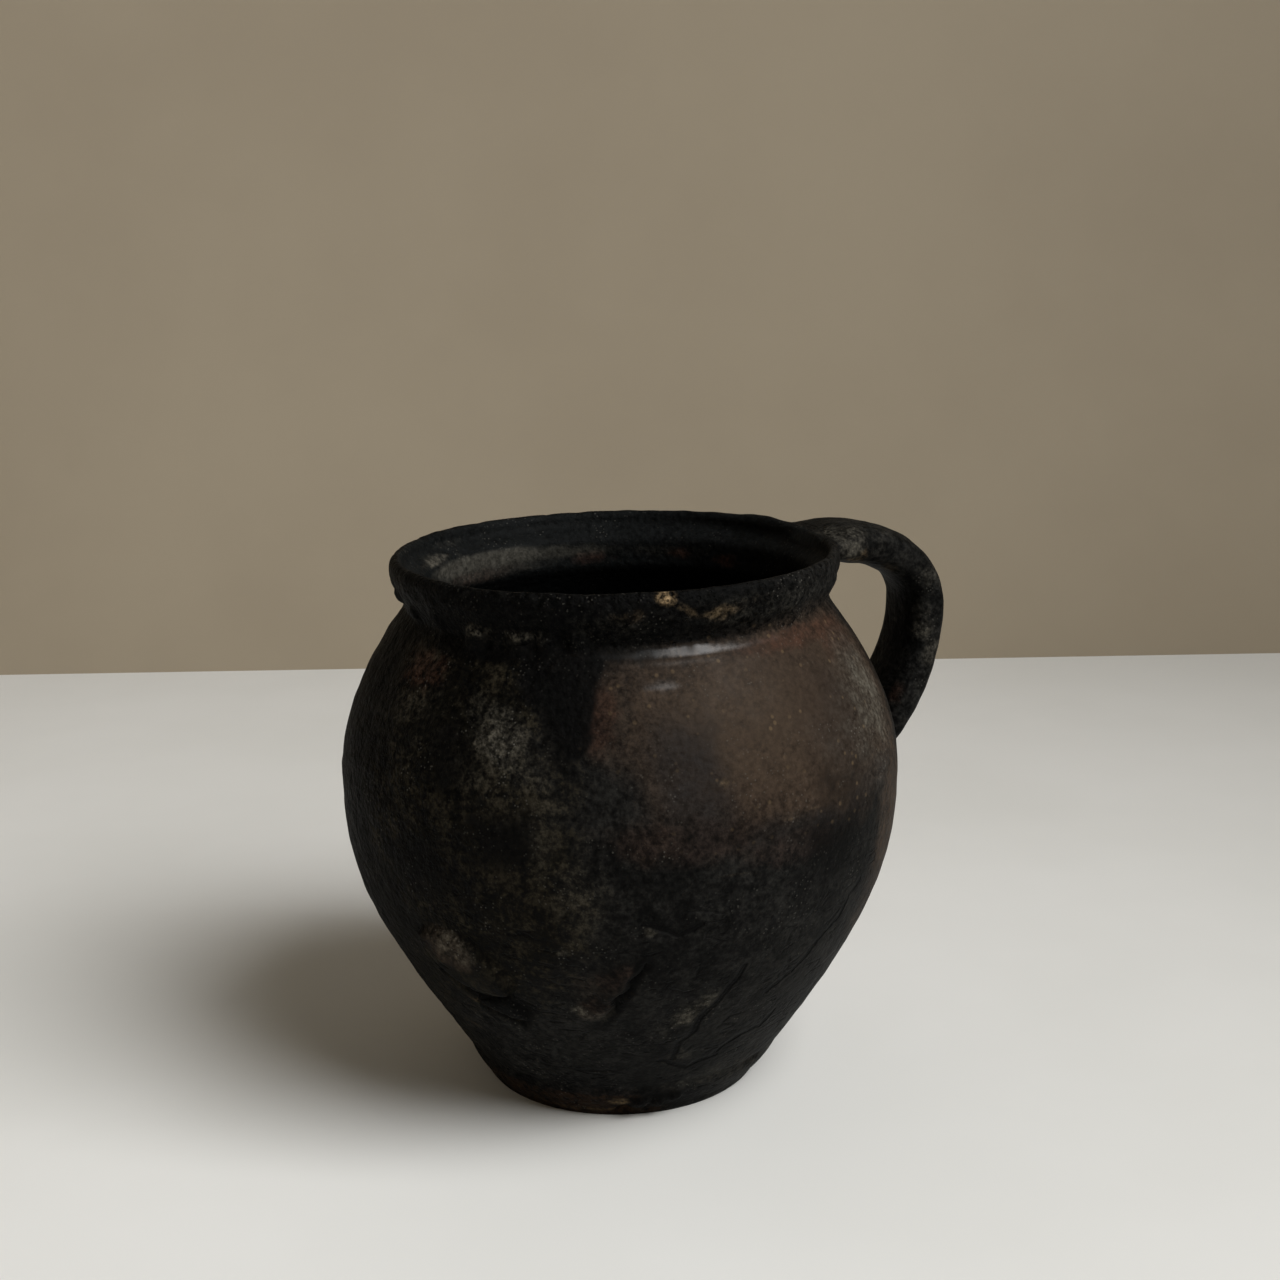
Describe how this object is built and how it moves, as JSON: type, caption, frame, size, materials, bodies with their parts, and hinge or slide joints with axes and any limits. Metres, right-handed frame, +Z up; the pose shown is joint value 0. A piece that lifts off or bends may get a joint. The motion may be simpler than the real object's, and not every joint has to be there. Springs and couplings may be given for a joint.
{
  "type": "earthenware pot",
  "caption": "Hand-thrown, soot-darkened earthenware pot with a full belly, narrow neck, rolled rim, small flat foot and one strap handle from rim to shoulder.",
  "frame": {"origin": "middle of the flat face that the pot stands on", "axes": "+Z up along the pot's axis, +X from the axis towards the strap handle, which lies in the XZ plane"},
  "size_m": [0.2013, 0.176, 0.1721],
  "materials": {
    "fired_clay": "matt, sooty and worn, with a burnished sheen on the shoulder"
  },
  "bodies": {
    "root": {"pot": "fired_clay"}
  },
  "joints": []
}
